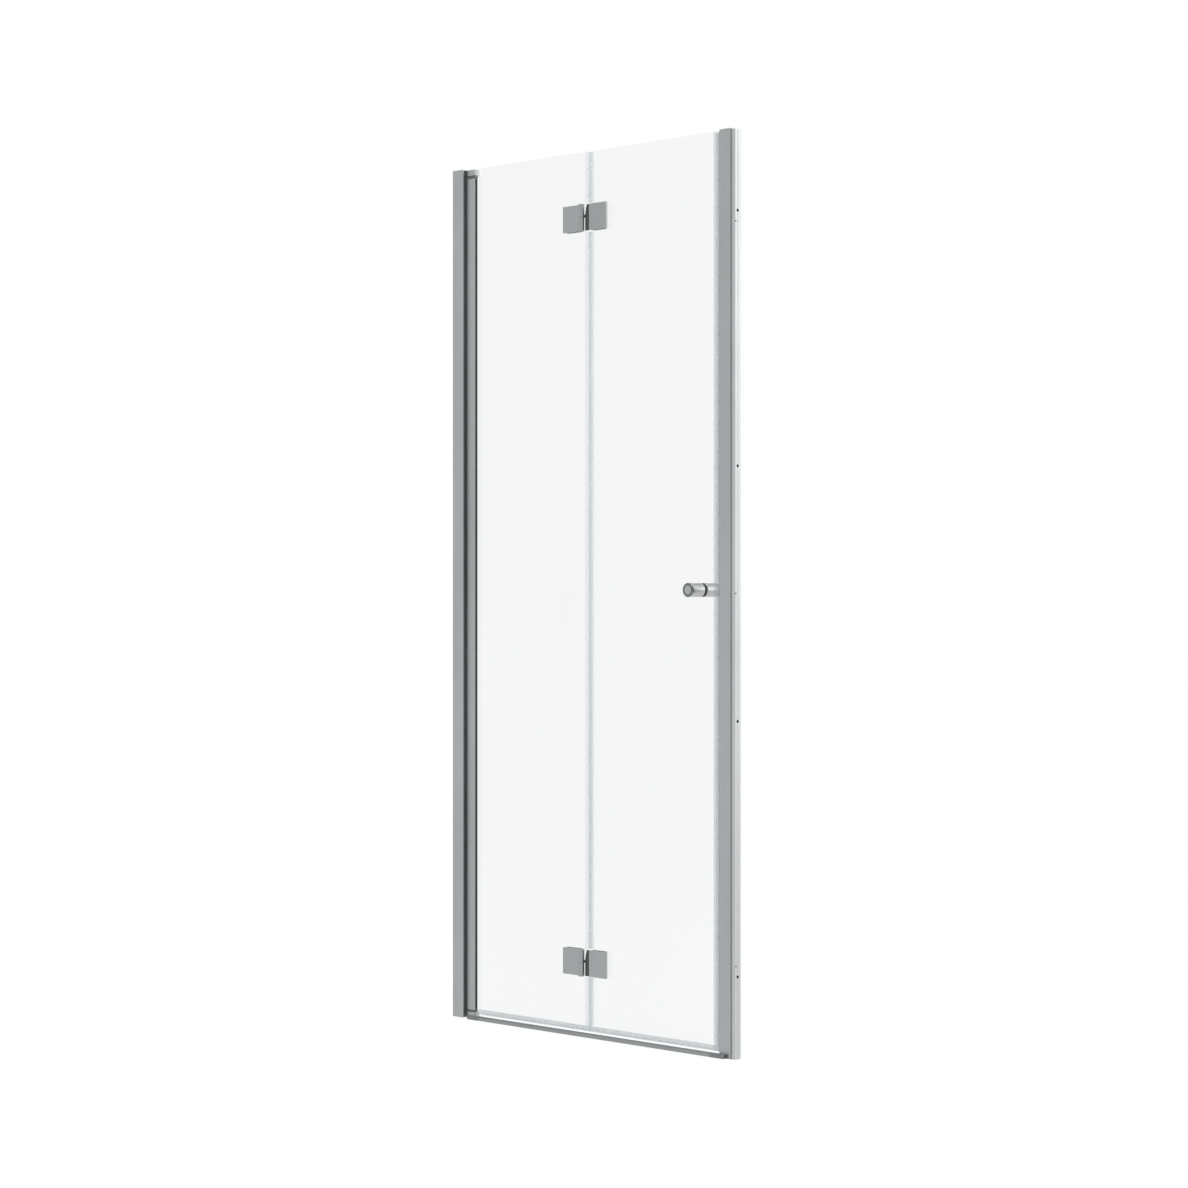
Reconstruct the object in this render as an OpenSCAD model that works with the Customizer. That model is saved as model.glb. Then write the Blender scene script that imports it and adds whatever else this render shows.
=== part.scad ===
// Bifold shower door, closed. The inner leaf turns on pivots in the left jamb, and the
// outer leaf folds on it with two glass hinges.
// X runs from the left wall to the right wall, -Y is the outside, and Z is up.
// Y = 0 is the middle of the glass, and Z = 0 is the shower tray.

/* [Door] */
// Width between the two walls
door_w = 900; // [850:10:1000]
// Height of the jambs and of the glass top
door_h = 1950; // [1850:10:2000]
// Thickness of both panes
glass_t = 6; // [5:1:6]
// Height of the lower glass edge
glass_bottom = 15; // [15:1:18]

/* [Jambs] */
// Front face of the jambs, from the middle of the glass
jamb_front = 16; // [16:0.5:18]
// Rear face of the jambs, from the middle of the glass
jamb_rear = 8; // [8:0.5:10]
// Wall of the aluminium profiles
wall_t = 1.8; // [1.6:0.1:2]
// Width of the left jamb
left_jamb_w = 36; // [36:0.5:36.5]
// Width of the right jamb
right_jamb_w = 33; // [31:1:35]
// Wall channel left in view beside the left jamb
left_pull_out = 0.5; // [0.5:0.1:0.6]
// Wall channel left in view beside the right jamb
right_pull_out = 10; // [6:1:12]
// Depth of the wall channels
channel_d = 22; // [20:1:22]

/* [Wall fixing] */
// Diameter of the four wall screw holes in each channel
wall_hole_d = 6.5; // [5:0.5:7]
// Pitch of the wall screw holes
wall_hole_pitch = 535; // [500:5:550]
// Diameter of the three small holes in each channel
small_hole_d = 3.5; // [3:0.5:4]
// Pitch of the small holes
small_hole_pitch = 780; // [700:5:800]

/* [Pivot] */
// Pivot axis, from the left wall
pivot_from_wall = 43; // [43:0.1:43.2]
// Radius of the round nose of the turning profile
nose_r = 7.5; // [7:0.1:7.5]
// Length of the outer clamp flange, from the pivot axis
flange_l = 25; // [24:0.5:26]
// Length of the inner clamp flange, from the pivot axis
inner_flange_l = 17; // [16:0.5:20]
// Diameter of the pivot pins
pivot_pin_d = 8; // [6:0.5:8]

/* [Fold] */
// Edge of the first pane, from the left wall
pane_a_end = 441; // [420:1:450]
// Gap between the two panes
fold_gap = 9; // [9:0.5:10]
// Hinge pin axis, back from the edge of the first pane
hinge_pin_back = 13; // [13:0.5:14]
// Height of the hinge plates
hinge_h = 58; // [50:1:60]
// Distance from the glass ends to the middle of the hinges
hinge_inset = 145.5; // [120:0.5:160]
// Diameter of the hinge knuckle
knuckle_d = 13.8; // [13:0.2:13.8]

/* [Knob] */
// Diameter of the knob
knob_d = 30; // [26:1:32]
// Reach of each knob half from the glass
knob_reach = 39.3; // [30:0.1:40]
// Height of the knob
knob_z = 982.5; // [900:0.5:1050]
// Distance from the knob to the edge of the second pane
knob_inset = 53.8; // [40:0.1:60]

/* [Threshold] */
// Height of the threshold bar
bar_h = 7; // [6:0.5:7]
// Depth of the threshold bar
bar_d = 8.6; // [8:0.1:8.6]
// Height of the bar's end caps
bar_cap_h = 9; // [8.5:0.1:9.2]

/* [Hidden] */

$fn = 48;
cut = 0.5;

// Colours
satin = [0.66, 0.68, 0.68];
bright = [0.8, 0.81, 0.82];
dark_plastic = [0.25, 0.27, 0.27];
black_rubber = [0.12, 0.12, 0.12];
grey_plastic = [0.62, 0.64, 0.65];
clear_plastic = [0.82, 0.86, 0.88];
pane_tint = [0.85, 0.92, 0.9, 0.35];
steel = [0.75, 0.75, 0.76];

// Jambs
left_x = -door_w / 2;
right_x = door_w / 2;
front_y = -jamb_front;
rear_y = jamb_rear;
fit_gap = 0.2;
channel_front_y = front_y + wall_t + fit_gap;
channel_rear_y = rear_y - wall_t - fit_gap;
channel_corner_r = 3;
channel_h = door_h - 2;
groove_y = -5;
groove_w = 2;
groove_depth = 0.4;
small_hole_y = -10.4;
frame_cap_t = 1.8;
frame_h = door_h - frame_cap_t;
edge_r = 0.8;
left_front_end = left_pull_out + left_jamb_w;
left_rear_end = left_front_end - 1.5;
left_web_x = left_front_end - 6.5;
bead_depth = 2.2;
stop_rib_t = 1.2;
stop_rib_h = 1.6;
stop_gap = 1;
right_end = right_pull_out + right_jamb_w;
right_web_x = right_end - 5;
magnet_l = 7;
magnet_w = 12;
magnet_front_y = -5.9;
magnet_bottom = 2;
magnet_end_gap = 1;
pocket_rib_t = 1.2;
pocket_rib_gap = 0.1;
cap_plug_wall = 1.4;
cap_plug_depth = 4;
cap_plug_gap = 1;

// Screws that clamp a jamb to its channel
clamp_x = 12;
right_clamp_x = 16;
clamp_top_inset = 195;
clamp_shank_r = 1.75;
clamp_head_r = 3.8;
clamp_head_h = 2.4;
clamp_shank_l = 9;
clamp_overlap = 1;
drive_r = 1.6;
drive_depth = 1.4;
screw_cap_r = 6.2;
screw_cap_h = 4.2;
screw_cap_wall = 1.2;
screw_cap_chamfer = 1;
clamp_heights = [clamp_top_inset, door_h / 2, door_h - clamp_top_inset];

// Pivots
pivot_x = left_x + pivot_from_wall;
block_overlap = 1;
block_start = 35.2;
block_half_y = 7.5;
bottom_block_h = 14.4;
block_bottom = door_h - 15;
block_top = frame_h;
tongue_end_gap = 1;
block_screw_heights = [bottom_block_h / 2, (block_bottom + block_top) / 2];
tongue_start = 24.8;
tongue_gap = 0.4;
notch_gap = 0.3;
bush_r = 6;
bush_depth = 9.5;
press_gap = 0.02;
run_gap = 0.05;
block_screw_x = 29.5;
block_screw_r = 2;
block_screw_head_r = 3.9;
block_screw_l = 14;
rotor_bottom = 19.4;
rotor_top = door_h - 22.6;
flange_t = 2;
gasket_t = 2.5;
clamp_half_y = glass_t / 2 + gasket_t + flange_t;
rotor_web_end = 8.2;
rotor_lip_gap = 0.5;
rotor_lip_l = pivot_from_wall - left_web_x - wall_t - rotor_lip_gap;
plug_r = 5;
plug_l = 32;
glass_start_in = 10;
gasket_lip = 3.7;
gasket_lip_tip = 0.2;
gasket_slope_start = 1;
gasket_slope_rise = 0.3;
gasket_back_gap = 1;
setting_block_l = 60;
setting_block_heights = [0.1 * door_h, 0.5 * door_h, 0.9 * door_h];
gasket_inset = 0.8;
gasket_bottom_inset = 4;
rotor_cap_gap = 1.4;
rotor_cap_inset = 1;
notch_w = 34;
top_notch = 22.8;
bottom_notch = 6.4;
corner_pad_from = 0.5;
corner_pad_gap = 0.1;
pin_engagement = 8;

// Panes
pane_a_start = pivot_x + glass_start_in;
pane_a_notch_x = pivot_x + notch_w;
pane_a_end_x = left_x + pane_a_end;
pane_b_start_x = pane_a_end_x + fold_gap;
pane_b_from_wall = 57;
pane_b_end_x = right_x - pane_b_from_wall;
half_t = glass_t / 2;
glass_hole_r = 5;
knob_hole_r = 6;

// Seals
seal_wall = 1;
seal_gap = 0.05;
seal_top_drop = 2;
fold_leg_l = 7.5;
fold_inner_leg_l = 3.5;
fold_mid = fold_gap / 2;
fold_slit = 0.6;
fold_bulb_half = 3.6;
hinge_cut = 2.5;
skirt_drop = 5.4;
skirt_bottom = glass_bottom - skirt_drop;
skirt_clip = 6.5;
drip_reach = 4.4;
drip_tip = 0.6;
skirt_start_gap = 0.5;
closing_leg_l = 14;
closing_bulb_l = 8.9;
closing_bulb_half = 5.5;
closing_wall = 1.2;
magnet_gap = 0.1;
magnet_top_gap = 1;

// Hinges
pin_x = pane_a_end_x - hinge_pin_back;
pin_out = 7.5;
pin_y = -half_t - pin_out;
knuckle_r = knuckle_d / 2;
knuckle_slit = 0.6;
knuckle_h = hinge_h + 1;
hinge_pin_r = 3;
plate_t = 5;
plate_bevel = 0.7;
pad_t = 0.5;
pane_y = -pin_y;
plate_back = pane_y - half_t - pad_t;
plate_front = plate_back - plate_t;
back_front = pane_y + half_t + pad_t;
back_back = back_front + plate_t;
plate_a_from = -62.7;
plate_b_from = 21.6;
plate_b_to = 75.4;
back_a_to = -13;
back_b_to = 62.6;
arm_t = 2.2;
arm_back = 0.1;
arm_face = plate_back - arm_back - arm_t;
arm_root_h = 6;
arm_root_end = 10;
cover_from = 7.6;
cover_arc_r = 80;
cover_skin = 0.5;
cover_gap = 0.3;
knuckle_relief = 0.5;
knuckle_relief_r = knuckle_r + knuckle_relief;
hinge_screws_a = [-50, -23];
hinge_screws_b = [35, 54];
hinge_screw_r = 2.5;
hinge_screw_head_r = 4.8;
hinge_screw_head_h = 2.8;
screw_reach = 3.2;
screw_end_gap = 0.3;
hex_r = 1.9;
hex_depth = 1.8;
pad_inset = 1;
top_hinge_z = door_h - hinge_inset;
bottom_hinge_z = glass_bottom + hinge_inset;

// Knob
knob_x = pane_b_end_x - knob_inset;
knob_r = knob_d / 2;
knob_gasket_t = 1.2;
knob_edge = 0.6;
knob_disc_r = 9.4;
knob_disc_depth = 0.5;
knob_gasket_inset = 0.6;
stud_r = 4;
stud_depth = 16;
stud_end_gap = 1;

// Threshold
bar_rear_gap = 0.6;
bar_rear_y = front_y - bar_rear_gap;
bar_front_y = bar_rear_y - bar_d;
bar_from = left_x + 64;
bar_to = right_x - 27.6;
bar_wall = 1.2;
bar_flange_t = 1.5;
bar_flange_from = left_x + 76;
bar_flange_to = right_x - 46;
bar_flange_rear = 2;
bar_crest_rise = 2;
left_cap_from = left_x + 59;
left_cap_to = left_x + 98;
right_cap_from = right_x - 62;
right_cap_to = right_x - 22.6;
cap_skin = 0.6;
cap_rear_gap = 0.1;
cap_end_r = 4;
cap_slot_w = 5;
cap_slot_h = 5;
cap_slot_z = 2.4;
cap_slot_depth = 4;

// A box from its two corners
module block(x0, x1, y0, y1, z0, z1) {
    translate([x0, y0, z0]) cube([x1 - x0, y1 - y0, z1 - z0]);
}

// A flat rectangle from its two corners
module flat(x0, x1, y0, y1) {
    translate([x0, y0]) square([x1 - x0, y1 - y0]);
}

// A flat rectangle centred on a line along the first axis
module flat_centred(x0, x1, y, h) {
    flat(x0, x1, y - h / 2, y + h / 2);
}

// A flat rectangle centred on a line along the second axis
module flat_centred_up(x, w, y0, y1) {
    flat(x - w / 2, x + w / 2, y0, y1);
}

// A section in X and Y, extruded from one height to another
module column(z0, z1) {
    translate([0, 0, z0]) linear_extrude(z1 - z0) children();
}

// A section in Y and Z, extruded from one X to another
module beam(x0, x1) {
    translate([x0, 0, 0]) rotate([90, 0, 90]) linear_extrude(x1 - x0) children();
}

// A cylinder along Y, from y0 to y1
module rod_y(r, y0, y1) {
    translate([0, y0, 0]) rotate([-90, 0, 0]) cylinder(r = r, h = y1 - y0);
}

// A cone along Y, from radius r0 at y0 to radius r1 at y1
module cone_y(r0, r1, y0, y1) {
    translate([0, y0, 0]) rotate([-90, 0, 0]) cylinder(r1 = r0, r2 = r1, h = y1 - y0);
}

// A hexagon socket along Y, from y0 to y1
module hex_y(r, y0, y1) {
    translate([0, y0, 0]) rotate([-90, 0, 0]) cylinder(r = r, h = y1 - y0, $fn = 6);
}

// ---- wall channels: x is measured from the wall ----

module channel_section() {
    difference() {
        union() {
            flat(channel_corner_r, channel_d, channel_front_y, channel_rear_y);
            flat(0, channel_corner_r + cut, channel_front_y + channel_corner_r,
                channel_rear_y - channel_corner_r);
            translate([channel_corner_r, channel_front_y + channel_corner_r])
                circle(channel_corner_r);
            translate([channel_corner_r, channel_rear_y - channel_corner_r])
                circle(channel_corner_r);
        }
        flat(wall_t, channel_d + cut, channel_front_y + wall_t, channel_rear_y - wall_t);
        flat(-cut, groove_depth, groove_y - groove_w / 2, groove_y + groove_w / 2);
    }
}

module hole_through_web(r, y, z) {
    translate([-cut, y, z]) rotate([0, 90, 0]) cylinder(r = r, h = wall_t + 2 * cut);
}

module wall_channel(clamp_at) {
    difference() {
        column(0, channel_h) channel_section();
        for (step = [-1.5, -0.5, 0.5, 1.5])
            hole_through_web(wall_hole_d / 2, groove_y, door_h / 2 + step * wall_hole_pitch);
        for (step = [-1, 0, 1])
            hole_through_web(small_hole_d / 2, small_hole_y,
                door_h / 2 + step * small_hole_pitch);
        for (z = clamp_heights)
            translate([clamp_at, 0, z])
                rod_y(clamp_shank_r + run_gap, channel_rear_y - wall_t - cut,
                    channel_rear_y + cut);
    }
}

module left_wall_channel() {
    color(satin) translate([left_x, 0, 0]) wall_channel(clamp_x);
}

module right_wall_channel() {
    color(satin) translate([right_x, 0, 0]) mirror([1, 0, 0]) wall_channel(right_clamp_x);
}

// ---- jamb profiles: x is measured from the wall ----

// A wall of a profile along X with its free end rounded
module rounded_wall(x0, x1, y0, y1) {
    flat(x0, x1 - edge_r, y0, y1);
    flat(x1 - 2 * edge_r, x1, y0 + edge_r, y1 - edge_r);
    for (y = [y0 + edge_r, y1 - edge_r]) translate([x1 - edge_r, y]) circle(edge_r);
}

module jamb_walls(x0, front_end, rear_end) {
    rounded_wall(x0, front_end, front_y, front_y + wall_t);
    rounded_wall(x0, rear_end, rear_y - wall_t, rear_y);
}

// Round bead along the free edge of the left jamb's front wall
module jamb_bead() {
    bead_r = wall_t / 2;
    bead_y = front_y + wall_t + bead_depth - bead_r;
    flat(left_front_end - wall_t, left_front_end, front_y + edge_r, bead_y);
    translate([left_front_end - bead_r, bead_y]) circle(bead_r);
}

// Ribs inside the jamb that stop it on the channel
module stop_ribs(x) {
    flat(x, x + stop_rib_t, front_y + wall_t - cut, front_y + wall_t + stop_rib_h);
    flat(x, x + stop_rib_t, rear_y - wall_t - stop_rib_h, rear_y - wall_t + cut);
}

module clamp_holes(x) {
    for (z = clamp_heights)
        translate([x, 0, z])
            rod_y(clamp_shank_r + run_gap, rear_y - wall_t - cut, rear_y + cut);
}

module pivot_block_hole(z) {
    translate([block_screw_x, 0, z]) {
        rod_y(block_screw_r + run_gap, channel_rear_y - cut, rear_y + cut);
        cone_y(block_screw_r, block_screw_head_r + run_gap,
            rear_y - (block_screw_head_r - block_screw_r), rear_y + run_gap);
    }
}

module left_frame_profile() {
    color(satin) translate([left_x, 0, 0]) difference() {
        column(0, frame_h) {
            jamb_walls(left_pull_out, left_front_end, left_rear_end);
            jamb_bead();
            flat(left_web_x, left_web_x + wall_t, front_y + wall_t / 2, rear_y - wall_t / 2);
            stop_ribs(channel_d + stop_gap);
        }
        for (range = [[-cut, bottom_block_h + notch_gap], [block_bottom - notch_gap, door_h]])
            block(left_web_x - cut, left_web_x + wall_t + cut, -block_half_y - notch_gap,
                rear_y - wall_t, range[0], range[1]);
        clamp_holes(clamp_x);
        for (z = block_screw_heights) pivot_block_hole(z);
    }
}

module right_frame_profile() {
    color(satin) translate([right_x, 0, 0]) mirror([1, 0, 0]) difference() {
        column(0, frame_h) {
            jamb_walls(right_pull_out, right_end, right_end);
            flat(right_web_x - wall_t, right_web_x, front_y + wall_t / 2, rear_y - wall_t / 2);
            flat(right_web_x - cut, right_end - edge_r,
                magnet_front_y - pocket_rib_gap - pocket_rib_t,
                magnet_front_y - pocket_rib_gap);
            stop_ribs(channel_d + stop_gap);
        }
        clamp_holes(right_clamp_x);
    }
}

// A frame cap: a plate over the jamb and a hollow plug inside it
module frame_cap(x0, front_end, rear_end, plug_x0, plug_x1, plug_y0, plug_y1) {
    column(frame_h, door_h) {
        rounded_wall(x0, min(front_end, rear_end), front_y, rear_y);
        rounded_wall(x0, front_end, front_y, front_y + wall_t);
    }
    column(frame_h - cap_plug_depth, frame_h + frame_cap_t / 2) difference() {
        flat(plug_x0, plug_x1, plug_y0, plug_y1);
        flat(plug_x0 + cap_plug_wall, plug_x1 - cap_plug_wall, plug_y0 + cap_plug_wall,
            plug_y1 - cap_plug_wall);
    }
}

module left_frame_cap() {
    color(satin) translate([left_x, 0, 0]) {
        frame_cap(left_pull_out, left_front_end, left_rear_end, wall_t + cap_plug_gap,
            channel_d - cap_plug_gap, channel_front_y + wall_t + cap_plug_gap,
            channel_rear_y - wall_t - cap_plug_gap);
        column(frame_h, door_h) jamb_bead();
    }
}

module right_frame_cap() {
    color(satin) translate([right_x, 0, 0]) mirror([1, 0, 0])
        frame_cap(right_pull_out, right_end, right_end,
            channel_d + stop_gap + stop_rib_t + cap_plug_gap,
            right_web_x - wall_t - cap_plug_gap, front_y + wall_t + cap_plug_gap,
            rear_y - wall_t - cap_plug_gap);
}

module clamp_screw() {
    difference() {
        union() {
            rod_y(clamp_shank_r, rear_y - clamp_shank_l, rear_y + clamp_overlap);
            rod_y(clamp_head_r, rear_y, rear_y + clamp_head_h);
        }
        hex_y(drive_r, rear_y + clamp_head_h - drive_depth, rear_y + clamp_head_h + cut);
    }
}

// A round cover that snaps over a screw head
module screw_cap() {
    chamfer_y = rear_y + screw_cap_h - screw_cap_chamfer;
    difference() {
        union() {
            rod_y(screw_cap_r, rear_y, chamfer_y);
            cone_y(screw_cap_r, screw_cap_r - screw_cap_chamfer, chamfer_y,
                rear_y + screw_cap_h);
        }
        rod_y(screw_cap_r - screw_cap_wall, rear_y - cut, chamfer_y);
    }
}

module at_clamps(x) {
    for (z = clamp_heights) translate([x, 0, z]) children();
}

module left_clamp_screws() {
    color(steel) at_clamps(left_x + clamp_x) clamp_screw();
}

module left_screw_caps() {
    color(satin) at_clamps(left_x + clamp_x) screw_cap();
}

module right_clamp_screws() {
    color(steel) at_clamps(right_x - right_clamp_x) clamp_screw();
}

module right_screw_caps() {
    color(satin) at_clamps(right_x - right_clamp_x) screw_cap();
}

// The magnet strip in the pocket of the closing jamb
module magnet_strip_section(inset) {
    flat(right_x - right_web_x - magnet_l + inset, right_x - right_web_x - inset,
        magnet_front_y + inset, magnet_front_y + magnet_w - inset);
}

module jamb_magnet_sleeve() {
    color(clear_plastic) column(magnet_bottom, frame_h - magnet_end_gap) difference() {
        magnet_strip_section(0);
        magnet_strip_section(closing_wall);
    }
}

module jamb_magnet_core() {
    color(dark_plastic) column(magnet_bottom + magnet_end_gap, frame_h - 2 * magnet_end_gap)
        magnet_strip_section(closing_wall + magnet_gap);
}

// ---- pivots ----

// The body of a pivot block: a head under the leaf's axis and a tongue in the jamb
module pivot_block_body(z0, z1, tongue_z0, tongue_z1) {
    intersection() {
        block(left_x + block_start, pivot_x + flange_l, -block_half_y, block_half_y,
            z0, z1);
        translate([pivot_x, 0, z0]) cylinder(r = flange_l, h = z1 - z0);
    }
    block(left_x + left_web_x - block_overlap, left_x + block_start + block_overlap,
        -block_half_y, rear_y - wall_t - tongue_gap, z0, z1);
    block(left_x + tongue_start, left_x + left_web_x - tongue_gap,
        front_y + wall_t + tongue_gap, rear_y - wall_t - tongue_gap, tongue_z0, tongue_z1);
}

module block_screw_pilot(z) {
    translate([left_x + block_screw_x, 0, z])
        rod_y(block_screw_r + run_gap, rear_y - block_screw_l - tongue_end_gap, rear_y);
}

module top_pivot_block() {
    color(satin) difference() {
        pivot_block_body(block_bottom, block_top, block_bottom + tongue_end_gap,
            block_top - tongue_gap);
        translate([pivot_x, 0, block_bottom - cut])
            cylinder(r = bush_r, h = bush_depth + cut);
        block_screw_pilot(block_screw_heights[1]);
    }
}

module bottom_pivot_block() {
    color(satin) difference() {
        pivot_block_body(0, bottom_block_h, 0, bottom_block_h - tongue_end_gap);
        translate([pivot_x, 0, bottom_block_h - bush_depth])
            cylinder(r = bush_r, h = bush_depth + cut);
        block_screw_pilot(block_screw_heights[0]);
    }
}

module pivot_bush(z) {
    translate([pivot_x, 0, z]) difference() {
        cylinder(r = bush_r - press_gap, h = bush_depth - press_gap);
        translate([0, 0, -cut])
            cylinder(r = pivot_pin_d / 2 + run_gap, h = bush_depth + 2 * cut);
    }
}

module pivot_bushes() {
    color(bright) {
        pivot_bush(block_bottom);
        pivot_bush(bottom_block_h - bush_depth + press_gap);
    }
}

module pivot_block_screw(z) {
    head_h = block_screw_head_r - block_screw_r;
    translate([left_x + block_screw_x, 0, z]) difference() {
        union() {
            rod_y(block_screw_r, rear_y - block_screw_l, rear_y - head_h + run_gap);
            cone_y(block_screw_r, block_screw_head_r, rear_y - head_h, rear_y);
        }
        hex_y(drive_r, rear_y - drive_depth, rear_y + cut);
    }
}

module pivot_block_screws() {
    color(steel) for (z = block_screw_heights) pivot_block_screw(z);
}

// The turning profile: a round nose on the axis, two flanges that hold the pane, and a
// lip that carries its outer face on into the pocket of the jamb
module rotor_section() {
    difference() {
        union() {
            circle(nose_r);
            flat(0, rotor_web_end, -nose_r, nose_r);
            rounded_wall(0, flange_l, -clamp_half_y, -clamp_half_y + flange_t);
            rounded_wall(0, inner_flange_l, clamp_half_y - flange_t, clamp_half_y);
            mirror([1, 0]) rounded_wall(0, rotor_lip_l, -clamp_half_y, -clamp_half_y + flange_t);
        }
        circle(plug_r);
    }
}

module pivot_profile() {
    color(satin) translate([pivot_x, 0, 0]) column(rotor_bottom, rotor_top) rotor_section();
}

// A gasket between a flange and the pane, with a lip that runs out on the glass
module pivot_gasket(flange_end) {
    inner_y = -clamp_half_y + flange_t;
    back_x = rotor_web_end + gasket_back_gap;
    translate([pivot_x, 0, 0])
        column(rotor_bottom + gasket_bottom_inset, rotor_top - gasket_inset)
            polygon([
                [back_x, inner_y],
                [flange_end, inner_y],
                [flange_end + gasket_slope_start, inner_y + gasket_slope_rise],
                [flange_end + gasket_lip, -half_t - gasket_lip_tip],
                [flange_end + gasket_lip, -half_t],
                [back_x, -half_t]
            ]);
}

module pivot_gasket_outer() {
    color(black_rubber) pivot_gasket(flange_l);
}

module pivot_gasket_inner() {
    color(clear_plastic) mirror([0, 1, 0]) pivot_gasket(inner_flange_l);
}

module pivot_setting_blocks() {
    color(grey_plastic)
        for (z = setting_block_heights)
            block(pivot_x + rotor_web_end, pane_a_start, -half_t, half_t, z,
                z + setting_block_l);
}

// A pivot pin: its plug fills the end of the profile, and its shaft turns in the bush
module pivot_pin(gap_to_block) {
    translate([0, 0, -plug_l]) cylinder(r = plug_r - run_gap, h = plug_l);
    cylinder(r = pivot_pin_d / 2, h = gap_to_block + pin_engagement);
}

module top_pivot_pin() {
    color(steel) translate([pivot_x, 0, rotor_top]) pivot_pin(block_bottom - rotor_top);
}

module bottom_pivot_pin() {
    color(steel) translate([pivot_x, 0, rotor_bottom]) mirror([0, 0, 1])
        pivot_pin(rotor_bottom - bottom_block_h);
}

// An end piece with the outline of the turning profile, and a hole for the pin
module rotor_cap(z0, z1) {
    half_y = nose_r - rotor_cap_inset;
    color(dark_plastic) translate([pivot_x, 0, z0]) difference() {
        union() {
            cylinder(r = half_y, h = z1 - z0);
            block(0, flange_l - rotor_cap_inset, -half_y, half_t, 0, z1 - z0);
            block(0, inner_flange_l - rotor_cap_inset, 0, half_y, 0, z1 - z0);
            block(rotor_cap_inset - rotor_lip_l, 0, -half_y, flange_t - half_y, 0, z1 - z0);
        }
        translate([0, 0, -cut]) cylinder(r = pivot_pin_d / 2 + run_gap, h = z1 - z0 + 2 * cut);
    }
}

module top_pivot_cap() {
    rotor_cap(rotor_top, block_bottom - rotor_cap_gap);
}

module bottom_pivot_cap() {
    rotor_cap(bottom_block_h + rotor_cap_gap, rotor_bottom);
}

// Clear pads in the notches that keep the pane off the pivot blocks
module glass_corner_pads() {
    pad_from = pivot_x + flange_l + corner_pad_from;
    pad_to = pane_a_notch_x - corner_pad_gap;
    color(clear_plastic) {
        block(pad_from, pad_to, -half_t, half_t, door_h - top_notch + corner_pad_gap,
            block_bottom - rotor_cap_gap);
        block(pad_from, pad_to, -half_t, half_t, bottom_block_h + rotor_cap_gap,
            glass_bottom + bottom_notch - corner_pad_gap);
    }
}

// ---- panes ----

// Holes through a pane for the four screws of its two hinge plates
module hinge_holes(offsets) {
    for (z = [bottom_hinge_z, top_hinge_z])
        for (dx = offsets)
            translate([pin_x + dx, 0, z]) rod_y(glass_hole_r, -half_t - cut, half_t + cut);
}

module glass_a() {
    color(pane_tint) difference() {
        block(pane_a_start, pane_a_end_x, -half_t, half_t, glass_bottom, door_h);
        block(pane_a_start - cut, pane_a_notch_x, -glass_t, glass_t, door_h - top_notch,
            door_h + cut);
        block(pane_a_start - cut, pane_a_notch_x, -glass_t, glass_t, glass_bottom - cut,
            glass_bottom + bottom_notch);
        hinge_holes(hinge_screws_a);
    }
}

module glass_b() {
    color(pane_tint) difference() {
        block(pane_b_start_x, pane_b_end_x, -half_t, half_t, glass_bottom, door_h);
        hinge_holes(hinge_screws_b);
        translate([knob_x, 0, knob_z]) rod_y(knob_hole_r, -half_t - cut, half_t + cut);
    }
}

// ---- seals ----

// A leg of a clip-on seal, in a section where x runs along the pane
module seal_leg(side, x0, x1) {
    flat_centred(x0, x1, side * (half_t + seal_gap + seal_wall / 2), seal_wall);
}

// Lower seal: legs on the pane, a bridge under it, two fins and a drip lip
module bottom_seal_section() {
    leg_top = glass_bottom + skirt_clip;
    bridge_top = glass_bottom - seal_gap;
    for (side = [-1, 1])
        flat_centred_up(side * (half_t + seal_gap + seal_wall / 2), seal_wall,
            bridge_top - seal_wall, leg_top);
    flat(-half_t - seal_wall, half_t + seal_wall, bridge_top - seal_wall, bridge_top);
    for (y = [-half_t + seal_wall, half_t - seal_wall])
        flat_centred_up(y, seal_wall, skirt_bottom, bridge_top - seal_wall / 2);
    polygon([
        [half_t - seal_wall, bridge_top - seal_wall / 2],
        [half_t + drip_reach, skirt_bottom],
        [half_t + drip_reach + drip_tip, skirt_bottom + drip_tip],
        [half_t + seal_wall, bridge_top - seal_wall / 4]
    ]);
}

module bottom_seal_a() {
    color(clear_plastic)
        beam(pane_a_notch_x + skirt_start_gap, pane_a_end_x) bottom_seal_section();
}

module bottom_seal_b() {
    color(clear_plastic)
        beam(pane_b_start_x, pane_b_end_x - closing_leg_l - fit_gap) bottom_seal_section();
}

// Fold seal: legs on the edge of a pane and a soft hollow bulb in the gap
module fold_seal_section() {
    bulb_end = fold_mid - fold_slit / 2;
    seal_leg(-1, -fold_leg_l, seal_gap + seal_wall);
    seal_leg(1, -fold_inner_leg_l, seal_gap + seal_wall);
    flat(seal_gap, seal_gap + seal_wall, -half_t - seal_gap - seal_wall / 2,
        half_t + seal_gap + seal_wall / 2);
    difference() {
        flat(seal_gap + seal_wall / 2, bulb_end, -fold_bulb_half, fold_bulb_half);
        flat(seal_gap + seal_wall, bulb_end - seal_wall, -fold_bulb_half + seal_wall,
            fold_bulb_half - seal_wall);
    }
}

module fold_seal_column() {
    difference() {
        column(skirt_bottom, door_h - seal_top_drop) fold_seal_section();
        for (z = [bottom_hinge_z, top_hinge_z])
            block(-fold_gap - cut, fold_gap, -glass_t, glass_t,
                z - knuckle_h / 2 - hinge_cut, z + knuckle_h / 2 + hinge_cut);
        block(-fold_gap - cut, 0, -glass_t, glass_t, skirt_bottom - cut,
            glass_bottom + skirt_clip + fit_gap);
    }
}

module fold_seal_a() {
    color(clear_plastic) translate([pane_a_end_x, 0, 0]) fold_seal_column();
}

module fold_seal_b() {
    color(clear_plastic) translate([pane_b_start_x, 0, 0]) mirror([1, 0, 0])
        fold_seal_column();
}

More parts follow.
